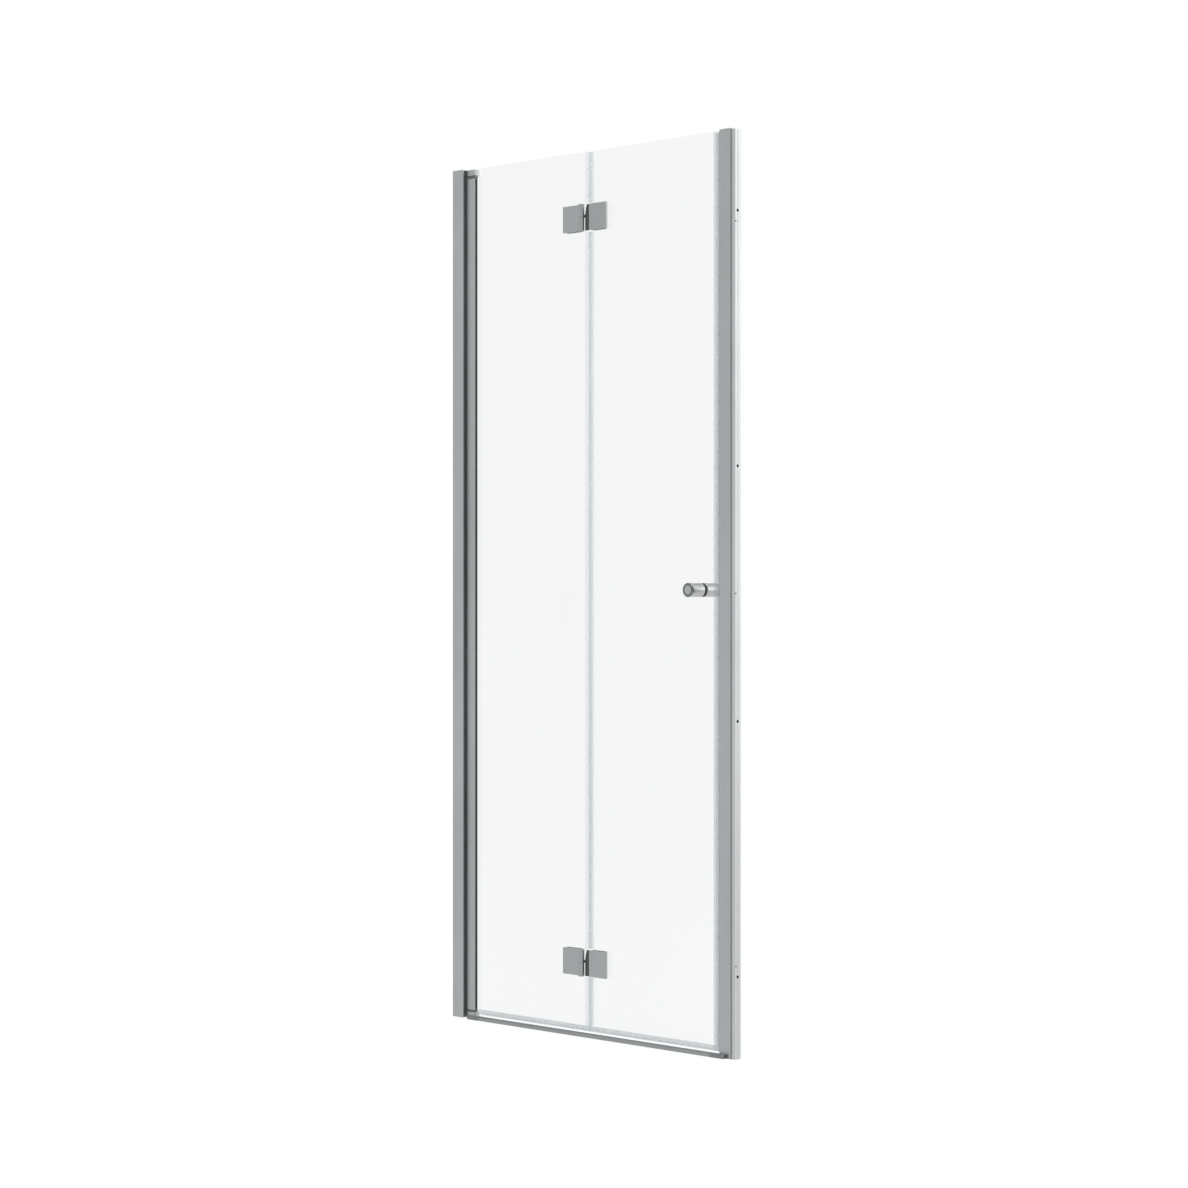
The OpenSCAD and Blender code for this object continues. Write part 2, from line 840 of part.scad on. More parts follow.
// Closing seal: legs on the pane and a hollow chamber for the magnet
module closing_chamber(inset) {
    flat(seal_gap + closing_wall + inset, seal_gap + closing_wall + closing_bulb_l - inset,
        -closing_bulb_half + inset, closing_bulb_half - inset);
}

module closing_seal_b() {
    color(clear_plastic) translate([pane_b_end_x, 0, 0])
        column(skirt_bottom, door_h - seal_top_drop) difference() {
            union() {
                for (side = [-1, 1])
                    seal_leg(side, -closing_leg_l, seal_gap + closing_wall);
                flat(seal_gap, seal_gap + closing_wall + cut, -half_t - seal_wall,
                    half_t + seal_wall);
                closing_chamber(0);
            }
            closing_chamber(closing_wall);
        }
}

module closing_magnet_b() {
    color(dark_plastic) translate([pane_b_end_x, 0, 0])
        column(skirt_bottom + magnet_top_gap, door_h - seal_top_drop - magnet_top_gap)
            closing_chamber(closing_wall + magnet_gap);
}

// ---- hinges: the origin is on the pin axis at mid height ----

module on_hinge(z) {
    translate([pin_x, pin_y, z]) children();
}

// A plate with chamfered long edges on its outer face
module hinge_plate(x0, x1, y0, y1, chamfer_front) {
    face_y = chamfer_front ? y0 : y1;
    step = chamfer_front ? plate_bevel : -plate_bevel;
    back_y = chamfer_front ? y1 : y0;
    translate([0, 0, -hinge_h / 2]) linear_extrude(hinge_h) polygon([
        [x0, back_y], [x0, face_y + step], [x0 + plate_bevel, face_y],
        [x1 - plate_bevel, face_y],
        [x1, face_y + step], [x1, back_y]
    ]);
}

module screw_holes(offsets, r, y0, y1) {
    for (dx = offsets) translate([dx, 0, 0]) rod_y(r, y0, y1);
}

module knuckle(z0, z1) {
    translate([0, 0, z0]) cylinder(r = knuckle_r, h = z1 - z0);
}

module pin_hole() {
    translate([0, 0, -knuckle_h]) cylinder(r = hinge_pin_r + run_gap, h = 2 * knuckle_h);
}

// Outer plate of leaf A: the lower half of the knuckle is part of it
module hinge_plate_a(z) {
    color(satin) on_hinge(z) difference() {
        union() {
            difference() {
                hinge_plate(plate_a_from, 0, plate_front, plate_back, true);
                translate([0, 0, -knuckle_slit / 2])
                    cylinder(r = knuckle_relief_r, h = hinge_h);
            }
            knuckle(-knuckle_h / 2, -knuckle_slit / 2);
        }
        pin_hole();
        screw_holes(hinge_screws_a, hinge_screw_r + run_gap,
            plate_back - screw_reach - screw_end_gap, plate_back + cut);
    }
}

// The part of a sheet along Y that lies inside the arc of the arm's free edge
module inside_arc(x1, y0, y1, z0, z1) {
    intersection() {
        block(cover_from, x1, y0, y1, z0, z1);
        translate([cover_from + cover_arc_r, 0, 0]) rod_y(cover_arc_r, y0, y1);
    }
}

// Outer plate of leaf B: a recessed arm joins it to the upper half of the knuckle
module hinge_plate_b(z) {
    color(satin) on_hinge(z) difference() {
        union() {
            hinge_plate(plate_b_from, plate_b_to, plate_front, plate_back, true);
            block(0, arm_root_end, arm_face, plate_back - arm_back, knuckle_slit / 2,
                arm_root_h);
            inside_arc(plate_b_from + cut, arm_face, plate_back - arm_back, knuckle_slit / 2,
                hinge_h / 2);
            knuckle(knuckle_slit / 2, knuckle_h / 2);
        }
        pin_hole();
        screw_holes(hinge_screws_b, hinge_screw_r + run_gap,
            plate_back - screw_reach - screw_end_gap, plate_back + cut);
    }
}

// Black infill between the knuckle and the outer plate of leaf B
module hinge_cover(z) {
    color(black_rubber) on_hinge(z) {
        inside_arc(plate_b_from, arm_face - cover_skin, arm_face, -cut, hinge_h / 2 - cover_gap);
        block(cover_from, plate_b_from, arm_face - cover_skin, plate_back - arm_back,
            -hinge_h / 2 + cover_gap, 0);
    }
}

// Inner clamp plate with countersunk holes
module hinge_back(z, x0, x1, offsets) {
    color(satin) on_hinge(z) difference() {
        hinge_plate(x0, x1, back_front, back_back, false);
        screw_holes(offsets, hinge_screw_r + run_gap, back_front - cut, back_back + cut);
        screw_holes(offsets, hinge_screw_head_r + run_gap, back_back - run_gap, back_back + cut);
        for (dx = offsets)
            translate([dx, 0, 0])
                cone_y(hinge_screw_r + run_gap, hinge_screw_head_r + run_gap,
                    back_back - hinge_screw_head_h, back_back - run_gap);
    }
}

module hinge_screws(z, offsets) {
    color(steel) on_hinge(z) for (dx = offsets) translate([dx, 0, 0]) difference() {
        union() {
            rod_y(hinge_screw_r, plate_back - screw_reach,
                back_back - hinge_screw_head_h + run_gap);
            cone_y(hinge_screw_r, hinge_screw_head_r, back_back - hinge_screw_head_h,
                back_back - run_gap);
        }
        hex_y(hex_r, back_back - hex_depth, back_back + cut);
    }
}

// Clear pads on both faces of the pane
module hinge_pads(z, x0, x1, back_x1, offsets) {
    color(clear_plastic) on_hinge(z) difference() {
        union() {
            block(x0 + pad_inset, x1 - pad_inset, plate_back, pane_y - half_t,
                -hinge_h / 2 + pad_inset, hinge_h / 2 - pad_inset);
            block(x0 + pad_inset, back_x1 - pad_inset, pane_y + half_t, back_front,
                -hinge_h / 2 + pad_inset, hinge_h / 2 - pad_inset);
        }
        screw_holes(offsets, hinge_screw_r + run_gap, plate_back - cut, back_front + cut);
    }
}

module top_hinge_plate_a() {
    hinge_plate_a(top_hinge_z);
}

module top_hinge_back_a() {
    hinge_back(top_hinge_z, plate_a_from, back_a_to, hinge_screws_a);
}

module top_hinge_pads_a() {
    hinge_pads(top_hinge_z, plate_a_from, -knuckle_relief_r, back_a_to, hinge_screws_a);
}

module top_hinge_screws_a() {
    hinge_screws(top_hinge_z, hinge_screws_a);
}

module bottom_hinge_plate_a() {
    hinge_plate_a(bottom_hinge_z);
}

module bottom_hinge_back_a() {
    hinge_back(bottom_hinge_z, plate_a_from, back_a_to, hinge_screws_a);
}

module bottom_hinge_pads_a() {
    hinge_pads(bottom_hinge_z, plate_a_from, -knuckle_relief_r, back_a_to, hinge_screws_a);
}

module bottom_hinge_screws_a() {
    hinge_screws(bottom_hinge_z, hinge_screws_a);
}

module top_hinge_plate_b() {
    hinge_plate_b(top_hinge_z);
}

module top_hinge_back_b() {
    hinge_back(top_hinge_z, plate_b_from, back_b_to, hinge_screws_b);
}

module top_hinge_pads_b() {
    hinge_pads(top_hinge_z, plate_b_from, plate_b_to, back_b_to, hinge_screws_b);
}

module top_hinge_screws_b() {
    hinge_screws(top_hinge_z, hinge_screws_b);
}

module top_hinge_cover() {
    hinge_cover(top_hinge_z);
}

module bottom_hinge_plate_b() {
    hinge_plate_b(bottom_hinge_z);
}

module bottom_hinge_back_b() {
    hinge_back(bottom_hinge_z, plate_b_from, back_b_to, hinge_screws_b);
}

module bottom_hinge_pads_b() {
    hinge_pads(bottom_hinge_z, plate_b_from, plate_b_to, back_b_to, hinge_screws_b);
}

module bottom_hinge_screws_b() {
    hinge_screws(bottom_hinge_z, hinge_screws_b);
}

module bottom_hinge_cover() {
    hinge_cover(bottom_hinge_z);
}

module hinge_pins() {
    color(steel) for (z = [bottom_hinge_z, top_hinge_z]) on_hinge(z)
        translate([0, 0, -knuckle_h / 2 + cut])
            cylinder(r = hinge_pin_r, h = knuckle_h - 2 * cut);
}

// Sliding washers between the halves of each knuckle
module hinge_washers() {
    washer_t = knuckle_slit - fit_gap;
    washer_inset = 1;
    color(grey_plastic) for (z = [bottom_hinge_z, top_hinge_z]) on_hinge(z)
        translate([0, 0, -knuckle_slit / 2]) difference() {
            cylinder(r = knuckle_r - washer_inset, h = washer_t);
            translate([0, 0, -cut]) cylinder(r = hinge_pin_r + run_gap, h = 2 * cut + washer_t);
        }
}

// ---- knob ----

// One half of the knob, on the outer side: a broad rim round a sunk disc
module knob_half() {
    face_y = -half_t - knob_reach;
    translate([knob_x, 0, knob_z]) difference() {
        union() {
            rod_y(knob_r, face_y + knob_edge, -half_t - knob_gasket_t);
            cone_y(knob_r - knob_edge, knob_r, face_y, face_y + knob_edge);
        }
        rod_y(knob_disc_r, face_y - cut, face_y + knob_disc_depth);
        rod_y(stud_r + run_gap, -half_t - knob_gasket_t - stud_depth, -half_t);
    }
}

module knob_outer() {
    color(bright) knob_half();
}

module knob_inner() {
    color(bright) mirror([0, 1, 0]) knob_half();
}

module knob_gaskets() {
    color(black_rubber) for (side = [0, 1]) mirror([0, side, 0])
        translate([knob_x, 0, knob_z]) difference() {
            rod_y(knob_r - knob_gasket_inset, -half_t - knob_gasket_t, -half_t);
            rod_y(stud_r + run_gap, -half_t - knob_gasket_t - cut, -half_t + cut);
        }
}

module knob_stud() {
    reach = half_t + knob_gasket_t + stud_depth - stud_end_gap;
    color(steel) translate([knob_x, 0, knob_z]) rod_y(stud_r, -reach, reach);
}

// ---- threshold ----

// The bar, its crest between the end caps, and a flange under the leaves
module threshold_bar() {
    color(satin) {
        beam(bar_from, bar_to) difference() {
            flat(bar_front_y, bar_rear_y, 0, bar_h);
            flat(bar_front_y + bar_wall, bar_rear_y - bar_wall, bar_wall, bar_h - bar_wall);
        }
        beam(left_cap_to + fit_gap, right_cap_from - fit_gap)
            polygon([
                [bar_front_y + bar_wall, bar_h - cut],
                [bar_front_y + bar_wall, bar_h],
                [bar_rear_y, bar_h + bar_crest_rise],
                [bar_rear_y, bar_h - cut]
            ]);
        beam(bar_flange_from, bar_flange_to)
            flat(bar_rear_y - bar_wall, bar_flange_rear, 0, bar_flange_t);
    }
}

// An end cap, with x from its rounded outer end: a sleeve over the bar, and a slot
module threshold_cap(cap_l, bar_inset) {
    front = bar_front_y - cap_skin;
    rear = front_y - cap_rear_gap;
    difference() {
        union() {
            block(cap_end_r, cap_l, front, rear, 0, bar_cap_h);
            block(0, cap_end_r + cut, front + cap_end_r, rear, 0, bar_cap_h);
            translate([cap_end_r, front + cap_end_r, 0])
                cylinder(r = cap_end_r, h = bar_cap_h);
        }
        block(bar_inset - run_gap, cap_l + cut, bar_front_y - run_gap, rear + cut, -cut,
            bar_h + run_gap);
        block(-cut, cap_slot_depth, front + cap_end_r, front + cap_end_r + cap_slot_w,
            cap_slot_z, cap_slot_z + cap_slot_h);
    }
}

module threshold_left_cap() {
    color(grey_plastic) translate([left_cap_from, 0, 0])
        threshold_cap(left_cap_to - left_cap_from, bar_from - left_cap_from);
}

module threshold_right_cap() {
    color(grey_plastic) translate([right_cap_to, 0, 0]) mirror([1, 0, 0])
        threshold_cap(right_cap_to - right_cap_from, right_cap_to - bar_to);
}

left_wall_channel();
left_frame_profile();
left_frame_cap();
left_clamp_screws();
left_screw_caps();
top_pivot_block();
bottom_pivot_block();
pivot_bushes();
pivot_block_screws();
right_wall_channel();
right_frame_profile();
right_frame_cap();
right_clamp_screws();
right_screw_caps();
jamb_magnet_sleeve();
jamb_magnet_core();
threshold_bar();
threshold_left_cap();
threshold_right_cap();
pivot_profile();
pivot_gasket_outer();
pivot_gasket_inner();
pivot_setting_blocks();
top_pivot_pin();
bottom_pivot_pin();
top_pivot_cap();
bottom_pivot_cap();
glass_corner_pads();
glass_a();
bottom_seal_a();
fold_seal_a();
top_hinge_plate_a();
top_hinge_back_a();
top_hinge_pads_a();
top_hinge_screws_a();
bottom_hinge_plate_a();
bottom_hinge_back_a();
bottom_hinge_pads_a();
bottom_hinge_screws_a();
hinge_washers();
glass_b();
bottom_seal_b();
fold_seal_b();
closing_seal_b();
closing_magnet_b();
top_hinge_plate_b();
top_hinge_back_b();
top_hinge_pads_b();
top_hinge_screws_b();
top_hinge_cover();
bottom_hinge_plate_b();
bottom_hinge_back_b();
bottom_hinge_pads_b();
bottom_hinge_screws_b();
bottom_hinge_cover();
hinge_pins();
knob_outer();
knob_inner();
knob_gaskets();
knob_stud();
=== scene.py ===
import math

import bmesh
import bpy
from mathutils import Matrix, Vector


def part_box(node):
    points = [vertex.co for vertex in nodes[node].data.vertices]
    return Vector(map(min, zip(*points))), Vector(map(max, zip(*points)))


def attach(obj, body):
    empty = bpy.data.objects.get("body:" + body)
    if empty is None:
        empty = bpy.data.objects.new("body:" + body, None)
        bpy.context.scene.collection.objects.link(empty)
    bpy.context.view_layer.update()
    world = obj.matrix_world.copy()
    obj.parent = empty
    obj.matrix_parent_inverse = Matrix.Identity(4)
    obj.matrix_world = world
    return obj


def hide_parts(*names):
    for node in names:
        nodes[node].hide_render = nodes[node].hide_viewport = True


# Bifold shower door. Metres, in the CAD frame: +X to the closing side, +Y into the
# shower, +Z up. The camera stands outside, in front of the closing side.

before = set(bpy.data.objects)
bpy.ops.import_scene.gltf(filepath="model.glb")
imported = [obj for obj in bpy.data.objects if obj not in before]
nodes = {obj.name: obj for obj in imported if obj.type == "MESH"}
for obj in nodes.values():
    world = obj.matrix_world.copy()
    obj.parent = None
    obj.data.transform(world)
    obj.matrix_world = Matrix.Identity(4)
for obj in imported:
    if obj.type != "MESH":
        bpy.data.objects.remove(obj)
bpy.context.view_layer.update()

# Colours, linear
ANODISED = (0.402, 0.421, 0.424)
# Threshold bar: the satin aluminium made darker, painted shade at the foot of the door
BAR_FOOT_SHADE = (0.3, 0.316, 0.32)
CHANNEL = (0.51, 0.525, 0.528)
HINGE = (0.37, 0.39, 0.393)
CHROME = (0.5, 0.505, 0.51)
# Knob rim: dark metal as painted shade of the groove around the sunk disc
KNOB_RIM_PAINTED_SHADE = (0.17, 0.18, 0.18)
STEEL = (0.5, 0.51, 0.52)
VINYL = (0.7, 0.75, 0.77)
CLOSING_VINYL = (0.6, 0.645, 0.665)
VINYL_TINT = (0.985, 0.992, 0.995)
MILKY = (0.85, 0.87, 0.87)
RUBBER = (0.03, 0.032, 0.032)
# Hinge covers: near black, painted shade of the gap between the knuckles
HINGE_GAP_PAINTED_SHADE = (0.075, 0.078, 0.078)
KNOB_GASKET = (0.15, 0.155, 0.155)
# Pivot caps: dark plastic, whose dark tone is also painted shade of the slot above the pivot
DARK_PLASTIC_AND_SLOT_SHADE = (0.13, 0.145, 0.145)
GREY_PLASTIC = (0.24, 0.256, 0.26)
MAGNET = (0.2, 0.2, 0.21)
GLASS_TINT = (0.953, 0.958, 0.957)
FLOOR = (0.7, 0.7, 0.7)
WHITE = (1.0, 1.0, 1.0)

# Noise patterns: scale, stretch (small along the direction of drawing) and detail
EVEN = (1.0, 1.0, 1.0)
UPRIGHT_GRAIN = (900.0, (1.0, 1.0, 0.03), 4.0)
LEVEL_GRAIN = (900.0, (0.03, 1.0, 1.0), 4.0)
CHANNEL_GRAIN = (700.0, (1.0, 1.0, 0.02), 4.0)
HINGE_GRAIN = (700.0, (0.08, 1.0, 1.0), 4.0)
SCREW_GRAIN = (1200.0, EVEN, 4.0)
KNOB_GRAIN = (1500.0, EVEN, 4.0)
RUBBER_GRAIN = (1500.0, EVEN, 4.0)
MOULDED_GRAIN = (1100.0, EVEN, 4.0)
METAL_CLOUD = (9.0, (1.0, 1.0, 0.4), 3.0)
PLASTIC_CLOUD = (40.0, EVEN, 2.0)
UPRIGHT_FLOW = (220.0, (1.0, 1.0, 0.02), 2.0)
LEVEL_FLOW = (220.0, (0.02, 1.0, 1.0), 2.0)
GLASS_HAZE = (3.0, (1.0, 1.0, 0.5), 3.0)
NOISE_MIDDLE = (0.3, 0.7)

# How far the patterns move each finish. Reliefs are heights in metres
METAL_ROUGHNESS_VARY = 0.05
METAL_RELIEF = 0.00001
PLASTIC_ROUGHNESS_VARY = 0.06
RUBBER_RELIEF = 0.00002
MOULDED_RELIEF = 0.00001
VINYL_ROUGHNESS = (0.36, 0.44)
VINYL_TONES = 0.02
VINYL_COVER_VARY = 0.01
VINYL_RELIEF = 0.000002
VINYL_GLOW_SHARE = 0.5
GLASS_TONES = 0.003
GLASS_ROUGHNESS = (0.0, 0.02)

# Reflection of one face of a glass sheet, face on, and how it grows at a low angle
FACE_ON_REFLECTION = 0.04
REFLECTION_POWER = 5.0

# World light: a direction, how far it is faced (a dot product), and the level at both ends
RIGHT_REAR = ((0.7071, 0.7071, 0.0), (0.25, 0.95), (1.0, 2.0))
CAMERA_SIDE = ((0.7071, -0.7071, 0.0), (0.3, 1.0), (1.0, 0.88))
OVERHEAD = ((0.0, 0.0, 1.0), (0.2, 0.8), (1.0, 0.6))

# Floor: the share of it that glows where it is seen, and how strongly. The rest is matt
# and carries the shadow
FLOOR_HALF = 40.0
FLOOR_HEIGHT = -0.0005
FLOOR_GLOW_SHARE = 0.9
FLOOR_GLOW = 1.05

# Camera, solved from the photograph
CAMERA_PLACE = (4.796, -4.536, 0.9741)
CAMERA_AIM = (-0.726, 0.6877, 0.0)
SENSOR_MM = 36.0
LENS_MM = 90.79
FAR_CLIP = 200.0

# A look through a seal crosses many walls
SEE_THROUGH_WALLS = 32

# The knob's three finishes, by material number. The rim's dark tone is painted shade
DISC, RIM, GRIP = range(3)
SHARP_DEGREES = 38

# Which CAD nodes take which finish
SATIN_NODES = (
    "left_frame_profile", "left_frame_cap", "right_frame_profile", "right_frame_cap",
    "top_pivot_block", "bottom_pivot_block", "pivot_profile", "left_screw_caps",
    "right_screw_caps",
)
BAR_NODES = ("threshold_bar",)
CHANNEL_NODES = ("left_wall_channel", "right_wall_channel")
HINGE_NODES = (
    "top_hinge_plate_a", "top_hinge_back_a", "bottom_hinge_plate_a", "bottom_hinge_back_a",
    "top_hinge_plate_b", "top_hinge_back_b", "bottom_hinge_plate_b", "bottom_hinge_back_b",
)
STEEL_NODES = (
    "left_clamp_screws", "right_clamp_screws", "pivot_block_screws", "top_pivot_pin",
    "bottom_pivot_pin", "top_hinge_screws_a", "bottom_hinge_screws_a",
    "top_hinge_screws_b", "bottom_hinge_screws_b", "hinge_pins", "knob_stud",
)
GLASS_NODES = ("glass_a", "glass_b")
VINYL_NODES = ("glass_corner_pads", "fold_seal_a", "fold_seal_b", "jamb_magnet_sleeve")
MILKY_NODES = (
    "pivot_gasket_inner", "top_hinge_pads_a", "bottom_hinge_pads_a", "top_hinge_pads_b",
    "bottom_hinge_pads_b",
)
CLOSING_SEALS = ("closing_seal_b",)
BOTTOM_SEALS = ("bottom_seal_a", "bottom_seal_b")
RUBBER_NODES = ("pivot_gasket_outer",)
# The hinge covers carry painted shade of the gap between the knuckles
HINGE_GAP_SHADE_NODES = ("top_hinge_cover", "bottom_hinge_cover")
KNOB_GASKET_NODES = ("knob_gaskets",)
# The pivot caps' dark tone is partly painted shade of the slot above the pivot
DARK_PLASTIC_NODES = ("top_pivot_cap", "bottom_pivot_cap")
GREY_PLASTIC_NODES = (
    "threshold_left_cap", "threshold_right_cap", "pivot_bushes", "pivot_setting_blocks",
    "hinge_washers",
)
MAGNET_NODES = ("jamb_magnet_core", "closing_magnet_b")


class Shader:
    """A material under construction, with an empty node tree and an output."""

    def __init__(self, name):
        self.material = bpy.data.materials.new(name)
        self.material.use_nodes = True
        self.tree = self.material.node_tree
        self.tree.nodes.clear()
        self.output = self.add("ShaderNodeOutputMaterial")

    def add(self, kind):
        return self.tree.nodes.new(kind)

    def link(self, source, target):
        self.tree.links.new(source, target)

    def mix(self, share, first, second):
        """Two shaders in one. The share of the second is a number or a socket."""
        node = self.add("ShaderNodeMixShader")
        if isinstance(share, float):
            node.inputs["Fac"].default_value = share
        else:
            self.link(share, node.inputs["Fac"])
        self.link(first, node.inputs[1])
        self.link(second, node.inputs[2])
        return node.outputs["Shader"]

    def finish(self, source):
        self.link(source, self.output.inputs["Surface"])
        return self.material


def noise(shader, scale, stretch, detail):
    """Noise in the object's own metres, stretched along an axis by a small number."""
    place = shader.add("ShaderNodeTexCoord")
    mapping = shader.add("ShaderNodeMapping")
    mapping.inputs["Scale"].default_value = stretch
    texture = shader.add("ShaderNodeTexNoise")
    texture.inputs["Scale"].default_value = scale
    texture.inputs["Detail"].default_value = detail
    shader.link(place.outputs["Object"], mapping.inputs["Vector"])
    shader.link(mapping.outputs["Vector"], texture.inputs["Vector"])
    return texture.outputs["Fac"]


def spread(shader, source, low, high):
    """The noise's middle range, spread from low to high."""
    ranged = shader.add("ShaderNodeMapRange")
    ranged.inputs["From Min"].default_value = NOISE_MIDDLE[0]
    ranged.inputs["From Max"].default_value = NOISE_MIDDLE[1]
    ranged.inputs["To Min"].default_value = low
    ranged.inputs["To Max"].default_value = high
    shader.link(source, ranged.inputs["Value"])
    return ranged.outputs["Result"]


def tones(shader, source, colour, depth):
    """The colour, darker and lighter by depth as the noise goes."""
    mix = shader.add("ShaderNodeMix")
    mix.data_type = "RGBA"
    mix.inputs["A"].default_value = (*[c * (1 - depth) for c in colour], 1.0)
    mix.inputs["B"].default_value = (*[min(1.0, c * (1 + depth)) for c in colour], 1.0)
    shader.link(spread(shader, source, 0.0, 1.0), mix.inputs["Factor"])
    return mix.outputs["Result"]


def bump(shader, source, relief):
    """A surface that rises and falls with the noise, by the relief in metres."""
    node = shader.add("ShaderNodeBump")
    node.inputs["Strength"].default_value = 1.0
    node.inputs["Distance"].default_value = relief
    shader.link(source, node.inputs["Height"])
    return node.outputs["Normal"]


def metal(name, colour, grain, roughness, depth=0.05, grain_by=1.0):
    """Satin metal: fine grain in roughness and relief over soft clouds in the tone."""
    shader = Shader(name)
    body = shader.add("ShaderNodeBsdfPrincipled")
    body.inputs["Metallic"].default_value = 1.0
    height = noise(shader, *grain)
    cloud = noise(shader, *METAL_CLOUD)
    vary = METAL_ROUGHNESS_VARY * grain_by
    rough = spread(shader, height, roughness - vary, roughness + vary)
    shader.link(tones(shader, cloud, colour, depth), body.inputs["Base Color"])
    shader.link(rough, body.inputs["Roughness"])
    shader.link(bump(shader, height, METAL_RELIEF * grain_by), body.inputs["Normal"])
    return shader.finish(body.outputs["BSDF"])


def plastic(name, colour, grain, relief, roughness, depth=0.12):
    """Moulded plastic or rubber, with a fine even skin texture."""
    shader = Shader(name)
    body = shader.add("ShaderNodeBsdfPrincipled")
    height = noise(shader, *grain)
    cloud = noise(shader, *PLASTIC_CLOUD)
    vary = PLASTIC_ROUGHNESS_VARY
    rough = spread(shader, height, roughness - vary, roughness + vary)
    shader.link(tones(shader, cloud, colour, depth), body.inputs["Base Color"])
    shader.link(rough, body.inputs["Roughness"])
    shader.link(bump(shader, height, relief), body.inputs["Normal"])
    return shader.finish(body.outputs["BSDF"])


def clear_vinyl(name, colour, flow, cover):
    """Soft vinyl: each wall covers a part of what is behind it with a milky lit skin."""
    shader = Shader(name)
    skin = shader.add("ShaderNodeBsdfPrincipled")
    glow = shader.add("ShaderNodeBsdfTranslucent")
    through = shader.add("ShaderNodeBsdfTransparent")
    through.inputs["Color"].default_value = (*VINYL_TINT, 1.0)
    height = noise(shader, *flow)
    tone = tones(shader, height, colour, VINYL_TONES)
    shader.link(tone, skin.inputs["Base Color"])
    shader.link(tone, glow.inputs["Color"])
    shader.link(spread(shader, height, *VINYL_ROUGHNESS), skin.inputs["Roughness"])
    shader.link(bump(shader, height, VINYL_RELIEF), skin.inputs["Normal"])
    body = shader.mix(VINYL_GLOW_SHARE, skin.outputs["BSDF"], glow.outputs["BSDF"])
    covered = spread(shader, height, cover - VINYL_COVER_VARY, cover + VINYL_COVER_VARY)
    return shader.finish(shader.mix(covered, through.outputs["BSDF"], body))


def sheet_reflection(shader):
    """How much one face of a glass sheet reflects, the same from both of its sides."""
    edge_on = shader.add("ShaderNodeLayerWeight")
    edge_on.inputs["Blend"].default_value = 0.5
    power = shader.add("ShaderNodeMath")
    power.operation = "POWER"
    power.inputs[1].default_value = REFLECTION_POWER
    share = shader.add("ShaderNodeMapRange")
    share.inputs["To Min"].default_value = FACE_ON_REFLECTION
    share.inputs["To Max"].default_value = 1.0
    shader.link(edge_on.outputs["Facing"], power.inputs[0])
    shader.link(power.outputs["Value"], share.inputs["Value"])
    return share.outputs["Result"]


def clear_glass(name):
    """Flat safety glass: faint tint, and a reflection that grows at a low angle."""
    shader = Shader(name)
    haze = noise(shader, *GLASS_HAZE)
    through = shader.add("ShaderNodeBsdfTransparent")
    shader.link(tones(shader, haze, GLASS_TINT, GLASS_TONES), through.inputs["Color"])
    gloss = shader.add("ShaderNodeBsdfGlossy")
    gloss.inputs["Color"].default_value = (*WHITE, 1.0)
    shader.link(spread(shader, haze, *GLASS_ROUGHNESS), gloss.inputs["Roughness"])
    share = sheet_reflection(shader)
    return shader.finish(shader.mix(share, through.outputs["BSDF"], gloss.outputs["BSDF"]))


def paint(names, material):
    for name in names:
        for place in nodes[name].material_slots:
            place.material = material


def paint_metals():
    satin = metal("satin_aluminium_grain", ANODISED, UPRIGHT_GRAIN, roughness=0.42)
    # The bar's darker tone is painted shade at the foot of the door
    bar = metal("threshold_aluminium_painted_shade", BAR_FOOT_SHADE, LEVEL_GRAIN, roughness=0.42)
    channel = metal("channel_aluminium_grain", CHANNEL, CHANNEL_GRAIN, roughness=0.38)
    hinge = metal("hinge_metal_grain", HINGE, HINGE_GRAIN, roughness=0.38, depth=0.04)
    steel = metal("screw_steel_turned", STEEL, SCREW_GRAIN, roughness=0.3)
    paint(SATIN_NODES, satin)
    paint(BAR_NODES, bar)
    paint(CHANNEL_NODES, channel)
    paint(HINGE_NODES, hinge)
    paint(STEEL_NODES, steel)


def paint_glass_and_seals():
    seal = clear_vinyl("clear_vinyl_seal", VINYL, UPRIGHT_FLOW, cover=0.1)
    pad = clear_vinyl("milky_vinyl_pad", MILKY, UPRIGHT_FLOW, cover=0.6)
    closing = clear_vinyl("closing_vinyl_seal", CLOSING_VINYL, UPRIGHT_FLOW, cover=0.24)
    bottom = clear_vinyl("bottom_vinyl_seal", CLOSING_VINYL, LEVEL_FLOW, cover=0.15)
    paint(GLASS_NODES, clear_glass("clear_glass_sheet"))
    paint(VINYL_NODES, seal)
    paint(MILKY_NODES, pad)
    paint(CLOSING_SEALS, closing)
    paint(BOTTOM_SEALS, bottom)


def paint_rubber():
    skin = (RUBBER_GRAIN, RUBBER_RELIEF)
    black = plastic("black_rubber_skin", RUBBER, *skin, roughness=0.55)
    # The hinge covers' near-black tone is painted shade of the gap between the knuckles
    gap_shade = plastic("hinge_gap_painted_shade", HINGE_GAP_PAINTED_SHADE, *skin, roughness=0.5)
    gasket = plastic("knob_gasket_skin", KNOB_GASKET, *skin, roughness=0.5)
    magnet = plastic("magnet_strip_rubber", MAGNET, *skin, roughness=0.6)
    paint(RUBBER_NODES, black)
    paint(HINGE_GAP_SHADE_NODES, gap_shade)
    paint(KNOB_GASKET_NODES, gasket)
    paint(MAGNET_NODES, magnet)


def paint_plastics():
    skin = (MOULDED_GRAIN, MOULDED_RELIEF)
    # Dark plastic caps, darkened further as painted shade of the slot above the pivot
    dark = plastic("dark_plastic_and_slot_shade", DARK_PLASTIC_AND_SLOT_SHADE, *skin, roughness=0.45)
    grey = plastic("grey_plastic_moulded", GREY_PLASTIC, *skin, roughness=0.42, depth=0.05)
    paint(DARK_PLASTIC_NODES, dark)
    paint(GREY_PLASTIC_NODES, grey)


